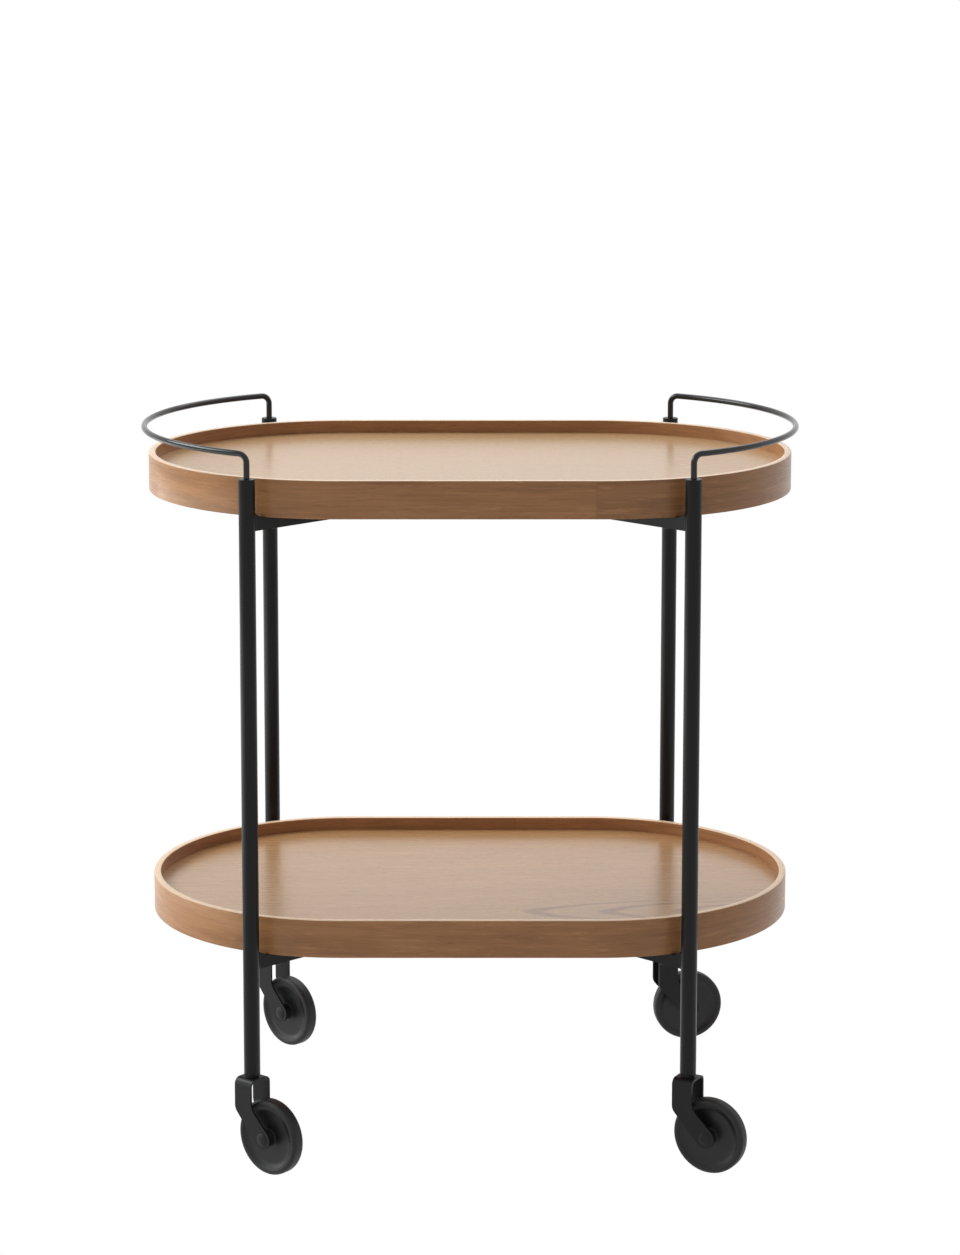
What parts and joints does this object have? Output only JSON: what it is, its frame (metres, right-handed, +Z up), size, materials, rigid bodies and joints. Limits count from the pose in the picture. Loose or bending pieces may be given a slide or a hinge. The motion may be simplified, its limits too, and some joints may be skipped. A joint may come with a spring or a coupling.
{
  "type": "serving trolley",
  "caption": "Two-tier serving trolley with oval oak trays, a black steel tube frame, wire handles at both ends and swivel casters.",
  "frame": {"origin": "on the ground, below the middle of the trolley's overall box, about 12 mm in front of the middle of the trays, because the front casters trail forwards", "axes": "+X along the trays to the right, +Y to the back, +Z up"},
  "size_m": [0.6638, 0.4614, 0.7159],
  "materials": {
    "oak_band": "satin",
    "oak_board": "satin",
    "black_steel": "satin",
    "plated_steel": "satin",
    "black_plastic": "matte",
    "black_rubber": "matte"
  },
  "bodies": {
    "frame": {"upper_tray_rim": "oak_band", "lower_tray_rim": "oak_band", "upper_tray_floor": "oak_board", "lower_tray_floor": "oak_board", "handle_left": "black_steel", "handle_right": "black_steel", "leg_top_bushes": "black_plastic", "caster_stems": "plated_steel", "upper_cross_bar_front_left": "black_steel", "upper_cross_bar_front_right": "black_steel", "lower_cross_bar_front_left": "black_steel", "lower_cross_bar_front_right": "black_steel", "leg_front_left": "black_steel", "leg_front_right": "black_steel", "leg_back_left": "black_steel", "leg_back_right": "black_steel"},
    "caster_front_left": {"caster_fork_front_left": "black_steel", "caster_axle_front_left": "plated_steel"},
    "wheel_front_left": {"wheel_disc_front_left": "black_plastic", "wheel_tyre_front_left": "black_rubber"},
    "caster_front_right": {"caster_fork_front_right": "black_steel", "caster_axle_front_right": "plated_steel"},
    "wheel_front_right": {"wheel_disc_front_right": "black_plastic", "wheel_tyre_front_right": "black_rubber"},
    "caster_back_left": {"caster_fork_back_left": "black_steel", "caster_axle_back_left": "plated_steel"},
    "wheel_back_left": {"wheel_disc_back_left": "black_plastic", "wheel_tyre_back_left": "black_rubber"},
    "caster_back_right": {"caster_fork_back_right": "black_steel", "caster_axle_back_right": "plated_steel"},
    "wheel_back_right": {"wheel_disc_back_right": "black_plastic", "wheel_tyre_back_right": "black_rubber"}
  },
  "joints": [
    {"name": "swivel_front_left", "type": "hinge", "parent": "frame", "child": "caster_front_left", "pos_m": [-0.21428, -0.18514, 0.0935], "axis": [0, 0, 1], "continuous": true},
    {"name": "roll_front_left", "type": "hinge", "parent": "caster_front_left", "child": "wheel_front_left", "pos_m": [-0.19512, -0.20121, 0.0375], "axis": [0.6428, 0.766, 0], "continuous": true},
    {"name": "swivel_front_right", "type": "hinge", "parent": "frame", "child": "caster_front_right", "pos_m": [0.21428, -0.18514, 0.0935], "axis": [0, 0, 1], "continuous": true},
    {"name": "roll_front_right", "type": "hinge", "parent": "caster_front_right", "child": "wheel_front_right", "pos_m": [0.23614, -0.19726, 0.0375], "axis": [0.4848, 0.8746, 0], "continuous": true},
    {"name": "swivel_back_left", "type": "hinge", "parent": "frame", "child": "caster_back_left", "pos_m": [-0.21428, 0.20981, 0.0935], "axis": [0, 0, 1], "continuous": true},
    {"name": "roll_back_left", "type": "hinge", "parent": "caster_back_left", "child": "wheel_back_left", "pos_m": [-0.1966, 0.19213, 0.0375], "axis": [0.7071, 0.7071, 0], "continuous": true},
    {"name": "swivel_back_right", "type": "hinge", "parent": "frame", "child": "caster_back_right", "pos_m": [0.21428, 0.20981, 0.0935], "axis": [0, 0, 1], "continuous": true},
    {"name": "roll_back_right", "type": "hinge", "parent": "caster_back_right", "child": "wheel_back_right", "pos_m": [0.23873, 0.21501, 0.0375], "axis": [-0.2079, 0.9781, 0], "continuous": true}
  ]
}
